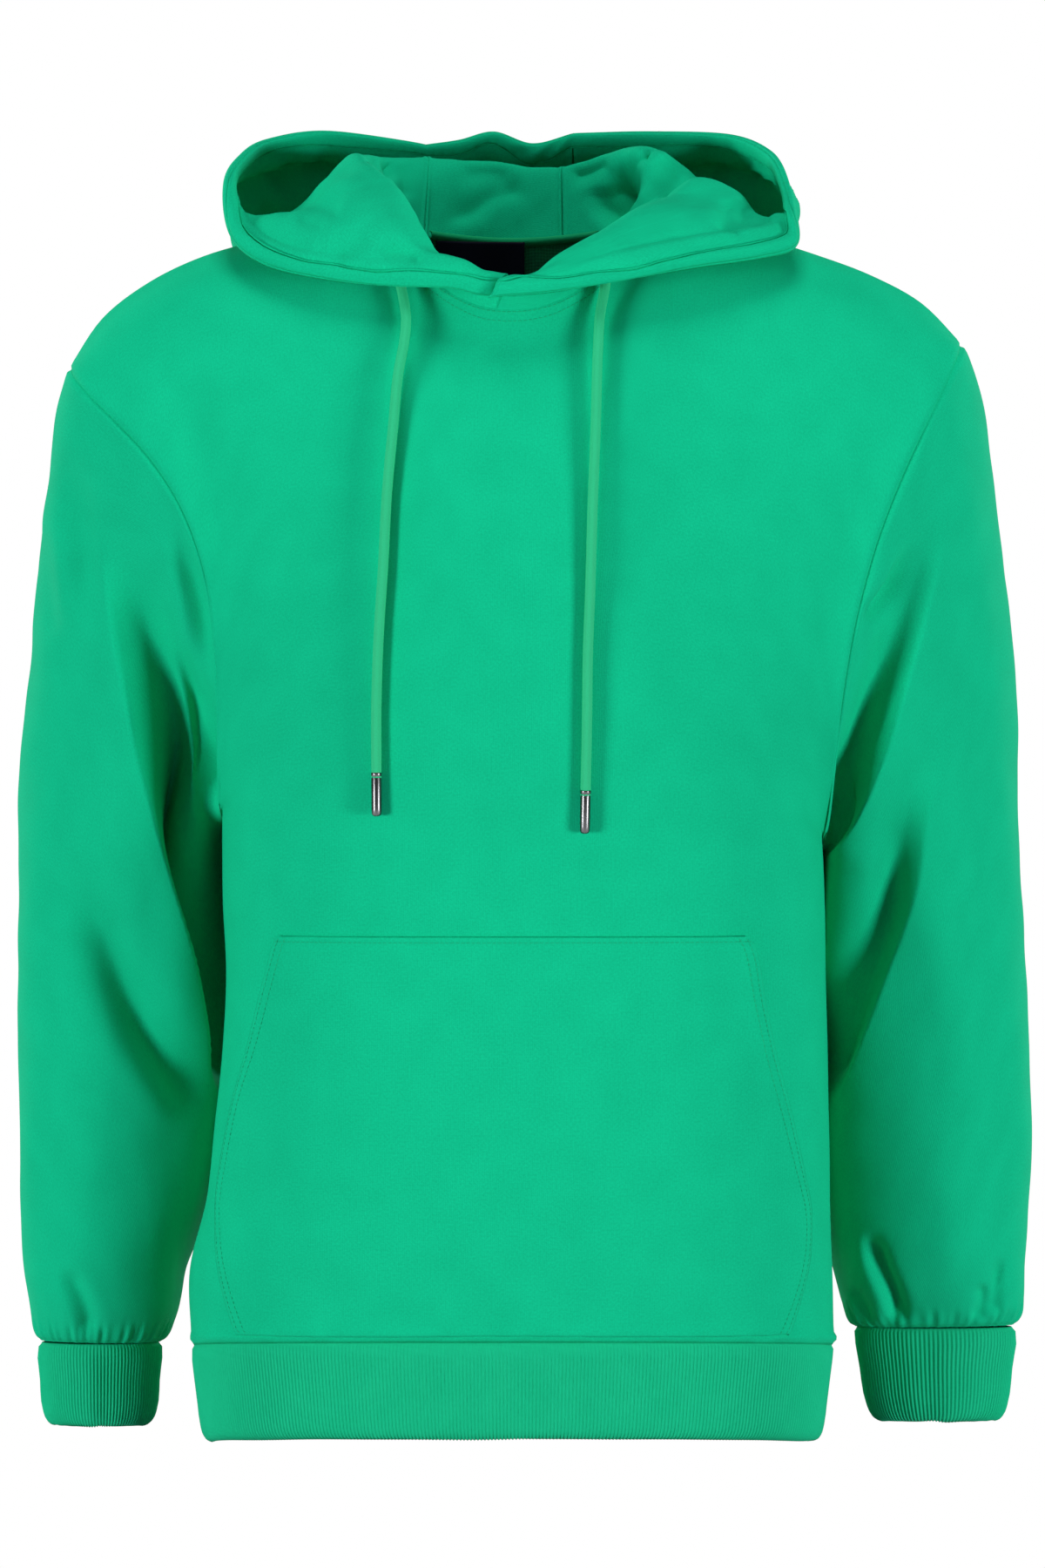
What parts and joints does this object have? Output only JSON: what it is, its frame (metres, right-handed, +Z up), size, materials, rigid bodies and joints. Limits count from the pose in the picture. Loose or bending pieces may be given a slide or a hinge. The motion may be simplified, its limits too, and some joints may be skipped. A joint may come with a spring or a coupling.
{
  "type": "hooded pullover sweatshirt",
  "caption": "Hooded pullover sweatshirt with a kangaroo pocket, drawcords, ribbed hem and ribbed cuffs, worn and filled out with no wearer.",
  "frame": {"origin": "middle of the neck at the height of the shoulders beside it, where the wearer's shoulders hold the garment up", "axes": "+Z up, -Y is the front, +X is the wearer's left"},
  "size_m": [0.5991, 0.3326, 0.7795],
  "materials": {
    "cloth": "matt brushed-back sweatshirt jersey",
    "hood_cloth": "matt sweatshirt jersey, doubled",
    "rib": "one-by-one rib knit",
    "cord": "round knitted cord",
    "cord_tip": "dark gunmetal plating",
    "tape": "plain woven tape",
    "label": "plain navy woven satin"
  },
  "bodies": {
    "root": {"front": "cloth", "back": "cloth", "sleeve_right": "cloth", "sleeve_left": "cloth", "pocket": "cloth", "hood_right": "hood_cloth", "hood_center": "hood_cloth", "hood_left": "hood_cloth", "hem_rib": "rib", "cuff_right": "rib", "cuff_left": "rib", "cord_right": "cord", "cord_left": "cord", "cord_tip_right": "cord_tip", "cord_tip_left": "cord_tip", "neck_tape": "tape", "neck_label": "label"}
  },
  "joints": []
}
